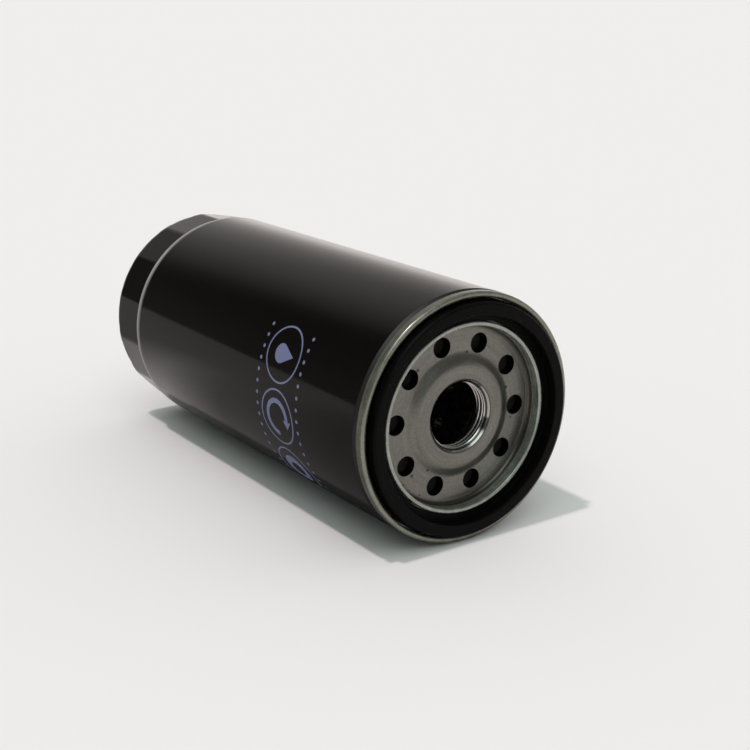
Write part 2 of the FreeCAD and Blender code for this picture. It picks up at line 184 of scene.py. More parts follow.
def groupTurningLines():
    # fine lines that run round the axis, as rolling, drawing and turning leave them
    tree, given, out = newGroup(
        "turningLines", [("Point", "Vector"), ("Lines per mm", "Float"), ("Wander", "Float")],
        [("Value", "Float")])
    place = useGroup(tree, "axisPlace", {"Point": given["Point"]})
    spread = node(tree, "ShaderNodeCombineXYZ", {
        "X": calc(tree, "MULTIPLY", place["Along"], given["Lines per mm"]),
        "Y": calc(tree, "MULTIPLY", place["Radius"], given["Lines per mm"]),
        "Z": calc(tree, "MULTIPLY", place["Turn"], given["Wander"])}).outputs[0]
    lines = node(tree, "ShaderNodeTexNoise", {"Vector": spread, "Scale": 1.0, "Detail": 3.0})
    tree.links.new(ramp(tree, lines.outputs["Fac"], *noiseRange), out["Value"])


def groupMottle():
    # broad, soft unevenness round 1
    tree, given, out = newGroup(
        "mottle", [("Point", "Vector"), ("Size mm", "Float"), ("Depth", "Float")],
        [("Value", "Float")])
    scale = calc(tree, "DIVIDE", 1 / mm, given["Size mm"])
    cloud = node(tree, "ShaderNodeTexNoise", {"Vector": given["Point"], "Scale": scale, "Detail": 5.0,
                                              "Roughness": 0.6})
    swing = ramp(tree, cloud.outputs["Fac"], *noiseRange, -1.0, 1.0)
    tree.links.new(calc(tree, "ADD", 1.0, calc(tree, "MULTIPLY", swing, given["Depth"])), out["Value"])


def groupSpecks():
    # scattered small spots, few of them big
    tree, given, out = newGroup(
        "specks", [("Point", "Vector"), ("Spacing mm", "Float"), ("Size", "Float")],
        [("Mask", "Float")])
    rarity = 4.0
    softness = 0.05
    scale = calc(tree, "DIVIDE", 1 / mm, given["Spacing mm"])
    cells = node(tree, "ShaderNodeTexVoronoi", {"Vector": given["Point"], "Scale": scale})
    luck = node(tree, "ShaderNodeSeparateColor", {0: cells.outputs["Color"]}).outputs[0]
    reach = calc(tree, "MULTIPLY", given["Size"], calc(tree, "POWER", luck, rarity))
    away = calc(tree, "SUBTRACT", reach, cells.outputs["Distance"])
    tree.links.new(ramp(tree, away, 0.0, softness), out["Mask"])


def groupOrangePeel():
    # the slight waviness of sprayed paint, or a mould's fine grain
    tree, given, out = newGroup("orangePeel", [("Point", "Vector"), ("Size mm", "Float")],
                                [("Height", "Float")])
    scale = calc(tree, "DIVIDE", 1 / mm, given["Size mm"])
    wave = node(tree, "ShaderNodeTexNoise", {"Vector": given["Point"], "Scale": scale, "Detail": 1.0})
    tree.links.new(wave.outputs["Fac"], out["Height"])


def groupEdgeBand():
    # 1 where a value lies at a level, falling to 0 at the given reach
    tree, given, out = newGroup(
        "edgeBand", [("Value", "Float"), ("Level", "Float"), ("Reach", "Float")],
        [("Mask", "Float")])
    away = calc(tree, "ABSOLUTE", calc(tree, "SUBTRACT", given["Value"], given["Level"]))
    share = calc(tree, "DIVIDE", away, given["Reach"])
    tree.links.new(calc(tree, "SUBTRACT", 1.0, share, clamp=True), out["Mask"])


for buildGroup in (groupAxisPlace, groupTurningLines, groupMottle, groupSpecks, groupOrangePeel,
                   groupEdgeBand):
    buildGroup()
print("shared effects made")


def axisPlace(tree, point):
    return useGroup(tree, "axisPlace", {"Point": point})


def turningLines(tree, point, perMm, wander):
    values = {"Point": point, "Lines per mm": perMm, "Wander": wander}
    return useGroup(tree, "turningLines", values)["Value"]


def mottle(tree, point, size, depth):
    return useGroup(tree, "mottle", {"Point": point, "Size mm": size, "Depth": depth})["Value"]


def specks(tree, point, spacing, size):
    return useGroup(tree, "specks", {"Point": point, "Spacing mm": spacing, "Size": size})["Mask"]


def orangePeel(tree, point, size):
    return useGroup(tree, "orangePeel", {"Point": point, "Size mm": size})["Height"]


def edgeBand(tree, value, level, reach):
    return useGroup(tree, "edgeBand", {"Value": value, "Level": level, "Reach": reach})["Mask"]


def toned(tree, value, spread, dark, light):
    # dark to light as a mottle's value goes from 1 - spread to 1 + spread
    return blendColour(tree, ramp(tree, value, 1 - spread, 1 + spread), dark, light)


def newMaterial(name):
    material = bpy.data.materials.new(name)
    material.use_nodes = True
    tree = material.node_tree
    tree.nodes.clear()
    shader = node(tree, "ShaderNodeBsdfPrincipled")
    out = node(tree, "ShaderNodeOutputMaterial")
    tree.links.new(shader.outputs[0], out.inputs["Surface"])
    point = node(tree, "ShaderNodeTexCoord").outputs["Object"]
    return material, tree, shader, point


inkSigns = {
    "ink": (0.17, 0.185, 0.33),
    "canRadius": 54.0,
    "skin": (-0.3, -0.2),       # from the can's radius: no ink inside it
    "edge": 0.12,               # softness of the ink's edge
    "line": 0.42,               # half width of a line
    "middle": -57.0,            # along the axis
    "ringRadius": 12.5,
    "signTurns": (157.0, 187.0, 217.0),
    "dropRadius": 4.4,
    "dropReach": 9.6,
    "dropShift": 2.0,
    "arcRadius": 7.6,
    "arcHalf": 1.1,
    "gapTurn": 45.0,
    "gapEdge": (44.0, 46.0),    # the arc's ends, from the gap's middle
    "headHalf": 2.9,
    "headSlope": 0.75,
    "gasketRadii": (4.2, 8.2),
    "dotAway": 16.2,
    "dotTurns": (143.0, 231.0),
    "dotEdge": 0.15,
    "dotPitch": 5.2,
    "dotRadius": 0.85,
}


def inkMask(tree, point):
    # three ringed fitting signs between two rows of dots, laid out round the can
    place = axisPlace(tree, point)
    perDegree = math.radians(inkSigns["canRadius"])
    edge = inkSigns["edge"]
    u = calc(tree, "SUBTRACT", place["Along"], inkSigns["middle"])

    def solid(distance):
        # ink where a signed distance is below nought
        return ramp(tree, distance, edge, -edge)

    def line(distance, half):
        return solid(calc(tree, "SUBTRACT", calc(tree, "ABSOLUTE", distance), half))

    def both(a, b):
        return calc(tree, "MULTIPLY", a, b)

    def either(*masks):
        total = masks[0]
        for mask in masks[1:]:
            total = calc(tree, "MAXIMUM", total, mask)
        return total

    def roundFrom(turn):
        return calc(tree, "MULTIPLY", calc(tree, "SUBTRACT", place["Turn"], turn), perDegree)

    across = [roundFrom(turn) for turn in inkSigns["signTurns"]]
    dropV, arrowV, _ = across
    reaches = [diagonal(tree, u, v) for v in across]
    _, arrowReach, gasketReach = reaches
    rings = [line(calc(tree, "SUBTRACT", reach, inkSigns["ringRadius"]), inkSigns["line"])
             for reach in reaches]

    # oil drop, its tip towards the open end
    low = calc(tree, "ADD", u, inkSigns["dropShift"])
    belly = solid(calc(tree, "SUBTRACT", diagonal(tree, low, dropV), inkSigns["dropRadius"]))
    slope = inkSigns["dropRadius"] / inkSigns["dropReach"]
    slant = slope / math.sqrt(1 - slope ** 2)
    side = calc(tree, "MULTIPLY", calc(tree, "SUBTRACT", inkSigns["dropReach"], low), slant)
    flank = solid(calc(tree, "SUBTRACT", calc(tree, "ABSOLUTE", dropV), side))
    above = rampBy(tree, low, inkSigns["dropRadius"] * slope, (-edge, edge))
    drop = either(belly, both(flank, above))

    # turning arrow: three quarters of a circle with a head
    swing = calc(tree, "DEGREES", calc(tree, "ARCTAN2", arrowV, u))
    fromGap = calc(tree, "ABSOLUTE", calc(tree, "SUBTRACT", swing, inkSigns["gapTurn"]))
    arcLine = line(calc(tree, "SUBTRACT", arrowReach, inkSigns["arcRadius"]), inkSigns["arcHalf"])
    arc = both(arcLine, ramp(tree, fromGap, *inkSigns["gapEdge"]))
    fromArc = calc(tree, "ABSOLUTE", calc(tree, "SUBTRACT", u, inkSigns["arcRadius"]))
    headOut = calc(tree, "SUBTRACT", fromArc, inkSigns["headHalf"])
    headSide = calc(tree, "ADD", headOut, calc(tree, "MULTIPLY", arrowV, inkSigns["headSlope"]))
    arrow = either(arc, both(solid(headSide), ramp(tree, arrowV, -edge, edge)))

    # gasket ring
    inner, outer = inkSigns["gasketRadii"]
    gasket = line(calc(tree, "SUBTRACT", gasketReach, (inner + outer) / 2), (outer - inner) / 2)

    # a row of dots on each side
    away = calc(tree, "SUBTRACT", calc(tree, "ABSOLUTE", u), inkSigns["dotAway"])
    first, last = inkSigns["dotTurns"]
    begun = ramp(tree, place["Turn"], first, first + inkSigns["dotEdge"])
    ended = ramp(tree, place["Turn"], last, last - inkSigns["dotEdge"])
    pitch = inkSigns["dotPitch"]
    step = calc(tree, "SUBTRACT", calc(tree, "FLOORED_MODULO", roundFrom(first), pitch), pitch / 2)
    dot = solid(calc(tree, "SUBTRACT", diagonal(tree, away, step), inkSigns["dotRadius"]))
    dots = both(dot, both(begun, ended))
    outside = rampBy(tree, place["Radius"], inkSigns["canRadius"], inkSigns["skin"])
    return both(either(*rings, drop, arrow, gasket, dots), outside)


# In the finishes, lines are given per mm with their wander, mottles by size and depth, and specks by
# spacing and size.

paintSet = {
    "black": (0.0035, 0.003, 0.0022),
    "uneven": (30.0, 0.2),
    "peel": 2.2,
    "peelDepth": 0.01,
    "dust": (0.1, 0.1, 0.09),
    "dustSpecks": (5.0, 0.09),
    "dustShare": 0.25,
    # light colour of the shoulder line: thin paint, and a painted highlight
    "thinPaintAndHighlight": (0.4, 0.37, 0.36),
    "shoulder": -195.7,
    "shoulderReach": 3.0,
    "wornAndHighlightShare": 0.95,
    "neck": 1.2,
    "neckEdge": (-0.3, 0.3),
    "roughness": 0.1,
    "inkRoughness": 0.25,       # added where there is ink
    "dullRoughness": 0.4,       # added where the paint is thin or dull
    "refraction": 1.5,
}


def paintBlack():
    material, tree, shader, point = newMaterial("glossBlackPaint")
    ink = inkMask(tree, point)
    place = axisPlace(tree, point)
    uneven = mottle(tree, point, *paintSet["uneven"])
    peel = orangePeel(tree, point, paintSet["peel"])
    dust = calc(tree, "MULTIPLY", specks(tree, point, *paintSet["dustSpecks"]), paintSet["dustShare"])
    paint = blendColour(tree, dust, paintSet["black"], paintSet["dust"])
    # the paint is thin where the press bent the shoulder and is drawn light there as a painted highlight
    # line too, and dull where the seam was rolled
    wornAndHighlight = edgeBand(tree, place["Along"], paintSet["shoulder"], paintSet["shoulderReach"])
    wornAndHighlight = calc(tree, "MULTIPLY", wornAndHighlight, calc(tree, "MULTIPLY", uneven, paintSet["wornAndHighlightShare"]), clamp=True)
    paint = blendColour(tree, wornAndHighlight, paint, paintSet["thinPaintAndHighlight"])
    dull = rampBy(tree, place["Along"], paintSet["neck"], paintSet["neckEdge"])
    colour = blendColour(tree, ink, paint, inkSigns["ink"])
    rough = calc(tree, "MULTIPLY", uneven, paintSet["roughness"])
    rough = calc(tree, "ADD", rough, calc(tree, "MULTIPLY", ink, paintSet["inkRoughness"]))
    dull = calc(tree, "MULTIPLY", calc(tree, "MAXIMUM", wornAndHighlight, dull), paintSet["dullRoughness"])
    rough = calc(tree, "ADD", rough, dull)
    fill(tree, shader, {"Base Color": colour, "Roughness": rough, "IOR": paintSet["refraction"],
                        "Normal": bump(tree, peel, paintSet["peelDepth"])})
    return material


zincSet = {
    "dull": (0.262, 0.278, 0.246),
    "bright": (0.378, 0.41, 0.37),
    "bloom": (6.0, 0.16),
    "toneSpread": 0.2,
    "lines": (5.0, 0.02),
    "lineDepth": 0.008,
    "spots": (0.12, 0.11, 0.09),
    "specks": (2.5, 0.2),
    "speckShare": 0.4,
    "seam": 50.8,
    "seamEdge": (0.0, 0.4),
    "seamDarkTint": (0.69, 0.66, 0.6),   # darker, olive tint on the rolled seam
    "roughness": 0.2,
    "lineRoughness": 0.14,
    "metallic": 0.68,
}


def zincSheet():
    material, tree, shader, point = newMaterial("zincSheet")
    place = axisPlace(tree, point)
    lines = turningLines(tree, point, *zincSet["lines"])
    bloom = mottle(tree, point, *zincSet["bloom"])
    spots = calc(tree, "MULTIPLY", specks(tree, point, *zincSet["specks"]), zincSet["speckShare"])
    colour = toned(tree, bloom, zincSet["toneSpread"], zincSet["dull"], zincSet["bright"])
    colour = blendColour(tree, spots, colour, zincSet["spots"])
    # the rolled seam is drawn darker and olive-tinted
    onSeam = rampBy(tree, place["Radius"], zincSet["seam"], zincSet["seamEdge"])
    seamDarkened = blendColour(tree, 1.0, colour, zincSet["seamDarkTint"], "MULTIPLY")
    colour = blendColour(tree, onSeam, colour, seamDarkened)
    rough = calc(tree, "ADD", zincSet["roughness"],
                 calc(tree, "MULTIPLY", lines, zincSet["lineRoughness"]))
    rough = calc(tree, "MULTIPLY", rough, bloom)
    fill(tree, shader, {"Base Color": colour, "Roughness": rough, "Metallic": zincSet["metallic"],
                        "Normal": bump(tree, lines, zincSet["lineDepth"])})
    return material


plateSet = {
    "bore": 14.1,
    "boreEdge": (0.08, 0.45),       # from crest to root
    "threadRoot": 15.0,
    "chamferEdge": (0.05, 0.2),
    "mouth": 16.0,
    "cutEdge": (-0.1, -0.3),
    "mouthReach": 0.35,
    "mouthShadeShare": 0.85,
    "rim": 38.3,
    "rimReach": 1.3,
    "rimShadeShare": 0.8,
    "holes": 10,
    "holeCircle": 31.4,
    "holeRadius": 4.25,
    "holeEdge": (0.2, 0.08),
    "firstHole": -2.5,
    "skin": ((0.15, 0.15, 0.133), (0.186, 0.185, 0.163)),
    "shadeAndStainColour": (0.03, 0.022, 0.018),
    "specks": (6.5, 0.17),
    "speckShare": 0.85,
    "crest": (0.66, 0.65, 0.62),
    "chamfer": (0.4, 0.39, 0.37),
    # painted shade in the thread's roots
    "root": (0.05, 0.048, 0.045),
    "holeShade": (0.012, 0.011, 0.01),
    "lines": (0.8, 0.025),
    "grain": (0.9, 0.16),
    "cloud": (12.0, 0.18),
    "roughness": 0.34,
    "cutPolish": 0.2,
    "metallic": 0.88,
    "linesInBump": 0.7,
    "grainInBump": 0.3,
    "bumpDepth": 0.03,
}


def plateHoles(tree, place):
    # 1 on the walls of the punched holes
    share = 360 / plateSet["holes"]
    turn = calc(tree, "SUBTRACT", place["Turn"], plateSet["firstHole"] - share / 2)
    turn = calc(tree, "SUBTRACT", calc(tree, "FLOORED_MODULO", turn, share), share / 2)
    turn = calc(tree, "RADIANS", turn)
    along = calc(tree, "MULTIPLY", place["Radius"], calc(tree, "COSINE", turn))
    along = calc(tree, "SUBTRACT", along, plateSet["holeCircle"])
    across = calc(tree, "MULTIPLY", place["Radius"], calc(tree, "SINE", turn))
    return rampBy(tree, diagonal(tree, along, across), plateSet["holeRadius"], plateSet["holeEdge"])


def pressedSteel():
    material, tree, shader, point = newMaterial("pressedPlateSteel")
    place = axisPlace(tree, point)
    radius = place["Radius"]
    marks = turningLines(tree, point, *plateSet["lines"])
    grain = mottle(tree, point, *plateSet["grain"])
    cloud = mottle(tree, point, *plateSet["cloud"])
    # the press's grey skin, with painted shade in its corners at the rim and in a thin line round the
    # mouth, and real stains in its specks
    skin = blendColour(tree, marks, *plateSet["skin"])
    skin = blendColour(tree, 1.0, skin, grey(tree, grain), "MULTIPLY")
    # painted shade: darker bands where the plate meets the lip's wall and at the mouth's edge
    rim = edgeBand(tree, radius, plateSet["rim"], plateSet["rimReach"])
    mouth = edgeBand(tree, radius, plateSet["mouth"], plateSet["mouthReach"])
    spots = specks(tree, point, *plateSet["specks"])
    shadeAndStains = calc(tree, "MAXIMUM", calc(tree, "MULTIPLY", rim, plateSet["rimShadeShare"]),
                calc(tree, "MULTIPLY", mouth, plateSet["mouthShadeShare"]))
    shadeAndStains = calc(tree, "MAXIMUM", shadeAndStains, calc(tree, "MULTIPLY", spots, plateSet["speckShare"]))
    skin = blendColour(tree, shadeAndStains, skin, plateSet["shadeAndStainColour"])
    # bare cut metal of the thread and its chamfer, bright on the crests, with painted shade in the roots
    depth = rampBy(tree, radius, plateSet["bore"], plateSet["boreEdge"])
    thread = blendColour(tree, depth, plateSet["crest"], plateSet["root"])
    bevelled = rampBy(tree, radius, plateSet["threadRoot"], plateSet["chamferEdge"])
    thread = blendColour(tree, bevelled, thread, plateSet["chamfer"])
    cut = rampBy(tree, radius, plateSet["mouth"], plateSet["cutEdge"])
    skin = blendColour(tree, cut, skin, thread)
    # painted shade: the punched hole walls are bare, and drawn nearly black as if out of the light
    skin = blendColour(tree, plateHoles(tree, place), skin, plateSet["holeShade"])
    rough = calc(tree, "MULTIPLY", plateSet["roughness"], cloud)
    rough = calc(tree, "SUBTRACT", rough, calc(tree, "MULTIPLY", cut, plateSet["cutPolish"]))
    height = calc(tree, "ADD", calc(tree, "MULTIPLY", marks, plateSet["linesInBump"]),
                  calc(tree, "MULTIPLY", grain, plateSet["grainInBump"]))
    fill(tree, shader, {"Base Color": skin, "Roughness": rough, "Metallic": plateSet["metallic"],
                        "Normal": bump(tree, height, plateSet["bumpDepth"])})
    return material


rubberSet = {
    "bloom": (5.0, 0.2),
    "toneSpread": 0.2,
    "darkShare": 0.75,
    "lightShare": 1.3,
    "dust": (0.12, 0.115, 0.1),
    "specks": (2.2, 0.16),
    "dustShare": 0.2,
    "grain": 0.35,
    "grainDepth": 0.03,
    "specular": 0.06,
}


def mouldedRubber(name, colour, roughness):
    material, tree, shader, point = newMaterial(name)
    bloom = mottle(tree, point, *rubberSet["bloom"])
    grain = orangePeel(tree, point, rubberSet["grain"])
    dark = [part * rubberSet["darkShare"] for part in colour]
    light = [part * rubberSet["lightShare"] for part in colour]
    tone = toned(tree, bloom, rubberSet["toneSpread"], dark, light)
    dust = calc(tree, "MULTIPLY", specks(tree, point, *rubberSet["specks"]), rubberSet["dustShare"])
    tone = blendColour(tree, dust, tone, rubberSet["dust"])
    fill(tree, shader, {"Base Color": tone, "Roughness": calc(tree, "MULTIPLY", bloom, roughness),
                        "Specular IOR Level": rubberSet["specular"],
                        "Normal": bump(tree, grain, rubberSet["grainDepth"])})
    return material


tinSet = {
    "dark": (0.38, 0.38, 0.37),
    "light": (0.58, 0.58, 0.56),
    "bloom": (9.0, 0.22),
    "toneSpread": 0.25,
    "lines": (2.0, 0.03),
    "lineDepth": 0.01,
    "roughness": 0.22,
    "lineRoughness": 0.1,
}


def tinnedSheet():
    material, tree, shader, point = newMaterial("tinnedSheet")
    bloom = mottle(tree, point, *tinSet["bloom"])
    lines = turningLines(tree, point, *tinSet["lines"])
    colour = toned(tree, bloom, tinSet["toneSpread"], tinSet["dark"], tinSet["light"])
    rough = calc(tree, "ADD", calc(tree, "MULTIPLY", bloom, tinSet["roughness"]),
                 calc(tree, "MULTIPLY", lines, tinSet["lineRoughness"]))
    fill(tree, shader, {"Base Color": colour, "Roughness": rough, "Metallic": 1.0,
                        "Normal": bump(tree, lines, tinSet["lineDepth"])})
    return material


wireSet = {
    "dark": (0.1, 0.095, 0.09),
    "light": (0.3, 0.29, 0.27),
    "scale": (3.0, 0.3),
    "toneSpread": 0.3,
    "scaleDepth": 0.02,
    "roughness": 0.35,
}


def springWire():
    material, tree, shader, point = newMaterial("springWire")
    scale = mottle(tree, point, *wireSet["scale"])
    colour = toned(tree, scale, wireSet["toneSpread"], wireSet["dark"], wireSet["light"])
    fill(tree, shader, {"Base Color": colour, "Metallic": 1.0,
                        "Roughness": calc(tree, "MULTIPLY", scale, wireSet["roughness"]),
                        "Normal": bump(tree, scale, wireSet["scaleDepth"])})
    return material


paperSet = {
    "dark": (0.3, 0.2, 0.08),
    "light": (0.47, 0.35, 0.18),
    "fibres": (0.6, 0.2),
    "fibreDepth": 0.08,
    "cloud": (12.0, 0.15),
    "toneSpread": 0.3,
    "roughness": 0.85,
}


def filterPaper():
    material, tree, shader, point = newMaterial("filterPaper")
    fibres = mottle(tree, point, *paperSet["fibres"])
    cloud = mottle(tree, point, *paperSet["cloud"])
    colour = toned(tree, calc(tree, "MULTIPLY", fibres, cloud), paperSet["toneSpread"],
                   paperSet["dark"], paperSet["light"])
    fill(tree, shader, {"Base Color": colour, "Roughness": paperSet["roughness"],
                        "Normal": bump(tree, fibres, paperSet["fibreDepth"])})
    return material


castSet = {
    "cloud": (4.0, 0.25),
    "toneSpread": 0.3,
    "cloudDepth": 0.05,
}


def castResin(name, dark, light, roughness):
    material, tree, shader, point = newMaterial(name)
    cloud = mottle(tree, point, *castSet["cloud"])
    colour = toned(tree, cloud, castSet["toneSpread"], dark, light)
    fill(tree, shader, {"Base Color": colour, "Roughness": calc(tree, "MULTIPLY", cloud, roughness),
                        "Normal": bump(tree, cloud, castSet["cloudDepth"])})
    return material


finishes = {
    "black_paint": paintBlack(),
    "zinc_sheet": zincSheet(),
    "plate_steel": pressedSteel(),
    "gasket_rubber": mouldedRubber("gasketRubber", (0.0022, 0.0021, 0.002), 0.45),
    "valve_rubber": mouldedRubber("valveRubber", (0.02, 0.018, 0.016), 0.55),
    "seam_compound": mouldedRubber("seamCompound", (0.18, 0.17, 0.15), 0.6),
    "tinned_sheet": tinnedSheet(),
    "spring_steel": springWire(),
    "filter_paper": filterPaper(),
    "potting_resin": castResin("pottingResin", (0.12, 0.03, 0.015), (0.28, 0.09, 0.04), 0.4),
    "band_roving": castResin("bandRoving", (0.55, 0.5, 0.38), (0.8, 0.76, 0.64), 0.6),
}
slotOf = {row["node"]: row["material_slot"] for row in frame["record"]["subparts"]}


def dress(piece, slot):
    piece.data.materials.clear()
    piece.data.materials.append(finishes[slot])


for name, cadNode in frame["nodes"].items():
    dress(cadNode, slotOf[name])
print("finishes made:", len(finishes))

meshSet = {
    "roundSteps": 240,
    "bendSteps": 8,
    "merge": 0.001,
    "mergeCad": 0.002,
}


def wire(bm, corners, rounds, closed=False):
    # a section's line through its (along, radius) corners, each corner rounded by its own radius
    verts = [bm.verts.new((x * mm, r * mm, 0)) for x, r in corners]
    after = verts[1:] + verts[:1] if closed else verts[1:]
    for a, b in zip(verts, after):
        bm.edges.new((a, b))
    for vert, rounding in zip(verts, rounds):
        if rounding:
            arms = [(edge.other_vert(vert).co - vert.co).normalized() for edge in vert.link_edges]
            cut = rounding * mm / math.tan(arms[0].angle(arms[1]) / 2)
            bmesh.ops.bevel(bm, geom=[vert], offset=cut, offset_type="OFFSET",
                            segments=meshSet["bendSteps"], profile=0.5, affect="VERTICES", material=-1)
    return verts[0], verts[-1]


def spinRound(bm, steps, start=0.0):
    # a section's line turned about the filter's axis
    atStart = Matrix.Rotation(math.radians(start), 3, "X")
    bmesh.ops.rotate(bm, verts=bm.verts, cent=(0, 0, 0), matrix=atStart)
    bmesh.ops.spin(bm, geom=bm.verts[:] + bm.edges[:], cent=(0, 0, 0), axis=(1, 0, 0), dvec=(0, 0, 0),
                   angle=math.tau, steps=steps, use_merge=True, use_normal_flip=False,
                   use_duplicate=False)
    bmesh.ops.remove_doubles(bm, verts=bm.verts, dist=meshSet["merge"] * mm)
    bmesh.ops.recalc_face_normals(bm, faces=bm.faces)


def turned(corners, rounds, closed):
    bm = bmesh.new()
    wire(bm, corners, rounds, closed)
    spinRound(bm, meshSet["roundSteps"])
    return bm


def makePiece(name, bm, body, slot, nodes, thickness=0.0):
    for face in bm.faces:
        face.smooth = True
    mesh = bpy.data.meshes.new(name)
    bm.to_mesh(mesh)
    bm.free()
    piece = bpy.data.objects.new(name, mesh)
    scene.collection.objects.link(piece)
    dress(piece, slot)
    if thickness:
        wall = piece.modifiers.new("sheet", "SOLIDIFY")
        wall.thickness = thickness * mm
        wall.offset = 0.0
        wall.use_even_offset = True
    # large faces keep their own shading beside small rounds
    even = piece.modifiers.new("evenShade", "WEIGHTED_NORMAL")
    even.keep_sharp = True
    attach(piece, body)
    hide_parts(*nodes)
    return piece


# The can and the lid are lines through the middle of their sheet, folded together in the seam.

sheetSet = {
    "thickness": 0.5,
    "bend": 0.4,            # of the sheet's middle
    "seamTop": 7.6,
    "seamFoot": 3.5,
    "hem": 1.0,
    "play": 0.03,
    "skirt": 53.65,         # radii of the seam's five layers, from the outside in
    "canHook": 53.12,
    "lidHook": 52.59,
    "canNeck": 52.06,
    "chuckWall": 51.53,
}

canSet = {
    "radius": 54.0,
    "end": -227.0,
    "endRound": 7.0,
    "recess": 22.0,
    "recessDepth": 2.0,
    "recessRound": 1.0,
    "flats": 15,
    "firstCorner": 20.0,
    "cornerRadius": 52.7,
    "step": -199.5,
    "stepRound": 4.0,
    "neck": 2.2,
    "stepsPerFlat": 16,
    "shoulderSteps": 24,
    "support": 0.6,         # of the extra loops that keep long faces evenly shaded
}


def pressFlats(bm, corner, apothem, stepX, shoulderX):
    # the closed end is pressed in to its flats
    share = math.tau / canSet["flats"]
    first = math.radians(canSet["firstCorner"])
    tolerance = 0.01
    for vert in bm.verts:
        x, r = vert.co.x / mm, math.hypot(vert.co.y, vert.co.z) / mm
        if x > shoulderX or r < canSet["recess"]:
            continue
        turn = (math.atan2(vert.co.z, vert.co.y) - first) % share - share / 2
        flat = min(corner, apothem / math.cos(turn))
        wanted = min(r, flat) if x < stepX + tolerance else max(r, flat)
        vert.co.y *= wanted / r
        vert.co.z *= wanted / r


def makeCan():
    half = sheetSet["thickness"] / 2
    outer = canSet["radius"] - half
    corner = canSet["cornerRadius"] - half
    apothem = canSet["cornerRadius"] * math.cos(math.pi / canSet["flats"]) - half
    # the round shoulder begins where it meets the middle of a flat
    shoulder = canSet["stepRound"] - half
    arcX, arcRadius = canSet["step"] + half + shoulder, outer - shoulder
    swing = math.pi / 2 - math.asin((apothem - arcRadius) / shoulder)
    stepX = arcX - shoulder * math.sin(swing)
    back = canSet["end"] + half
    floor, recess = back + canSet["recessDepth"], canSet["recess"]
    rim, endRound = canSet["recessRound"], canSet["endRound"]
    support = canSet["support"]
    bm = bmesh.new()
    _, endLast = wire(
        bm, [(floor, 0), (floor, recess - canSet["recessDepth"]), (back, recess), (back, corner),
             (back + endRound + support, corner), (stepX - support, corner), (stepX, corner)],
        [0, rim, rim, endRound - half, 0, 0, 0])
    foot, play, bend = sheetSet["seamFoot"], sheetSet["play"], sheetSet["bend"]
    top = sheetSet["seamTop"] - sheetSet["thickness"] - play - half
    hook, neck = sheetSet["canHook"], sheetSet["canNeck"]
    neckX = foot - canSet["neck"]
    sideFirst, _ = wire(
        bm, [(arcX, outer), (arcX + support, outer), (neckX - support, outer), (neckX, outer),
             (foot - play, neck), (top, neck), (top, hook), (foot + sheetSet["hem"], hook)],
        [0, 0, 0, bend, bend, bend, bend, 0])
    arc = bmesh.ops.spin(bm, geom=[sideFirst], cent=(arcX * mm, arcRadius * mm, 0), axis=(0, 0, 1),
                         dvec=(0, 0, 0), angle=swing, steps=canSet["shoulderSteps"], use_merge=False,
                         use_normal_flip=False, use_duplicate=False)
    arcLast = next(part for part in arc["geom_last"] if isinstance(part, bmesh.types.BMVert))
    arcLast.co = endLast.co
    spinRound(bm, canSet["flats"] * canSet["stepsPerFlat"], canSet["firstCorner"])
    pressFlats(bm, corner, apothem, stepX, arcX)
    makePiece("canShell", bm, "housing", "black_paint", ["can"], sheetSet["thickness"])


lidSet = {
    "rim": 2.2,
    "lipRadii": (39.3, 41.2),
    "lipTop": 6.25,
    "seamRound": 0.95,
    "hookRound": 0.24,
}


def makeLid():
    half, bend = sheetSet["thickness"] / 2, sheetSet["bend"]
    lipIn, lipOut = lidSet["lipRadii"][0] + half, lidSet["lipRadii"][1] - half
    rim, lipTop = lidSet["rim"], lidSet["lipTop"] - half
    floor = rim + half
    skirt, hook, chuck = sheetSet["skirt"], sheetSet["lidHook"], sheetSet["chuckWall"]
    top, foot = sheetSet["seamTop"] - half, sheetSet["seamFoot"] + half
    hookEnd = sheetSet["seamTop"] - 2 * sheetSet["thickness"] - sheetSet["play"] - sheetSet["hem"]
    bm = turned(
        [(rim, lipIn), (lipTop, lipIn), (lipTop, lipOut), (floor, lipOut), (floor, chuck),
         (top, chuck), (top, skirt), (foot, skirt), (foot, hook), (hookEnd, hook)],
        [0, bend, bend, bend, bend, lidSet["seamRound"], lidSet["seamRound"], bend,
         lidSet["hookRound"], 0], closed=False)
    makePiece("lidSheet", bm, "housing", "zinc_sheet", ["seaming_lid"], sheetSet["thickness"])


gasketSet = {
    "floor": 2.7,
    "top": 10.9,
    "step": 5.3,
    "base": (41.6, 50.88),
    "rib": (44.68, 50.08),
    "innerRound": 0.6,
    "outerRound": 1.3,
    "smallRound": 0.3,
}


def makeGasket():
    small = gasketSet["smallRound"]
    floor, step, top = gasketSet["floor"], gasketSet["step"], gasketSet["top"]
    (baseIn, baseOut), (ribIn, ribOut) = gasketSet["base"], gasketSet["rib"]
    bm = turned(
        [(floor, baseIn), (step, baseIn), (step, ribIn), (top, ribIn),
         (top, ribOut), (step, ribOut), (step, baseOut), (floor, baseOut)],
        [small, small, small, gasketSet["innerRound"], gasketSet["outerRound"], small, small, small],
        closed=True)
    makePiece("gasketRing", bm, "housing", "gasket_rubber", ["sealing_gasket"])


def smoothCopy(name, cadName, angle, reshape=None):
    # a CAD piece's own mesh, merged and shaded smoothly up to an angle
    bm = bmesh.new()
    bm.from_mesh(frame["nodes"][cadName].data)
    bmesh.ops.remove_doubles(bm, verts=bm.verts, dist=meshSet["mergeCad"] * mm)
    if reshape:
        reshape(bm)
    for edge in bm.edges:
        if edge.is_manifold and edge.calc_face_angle() > math.radians(angle):
            edge.smooth = False
    makePiece(name, bm, frame["nodes"][cadName]["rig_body"], slotOf[cadName], [cadName])


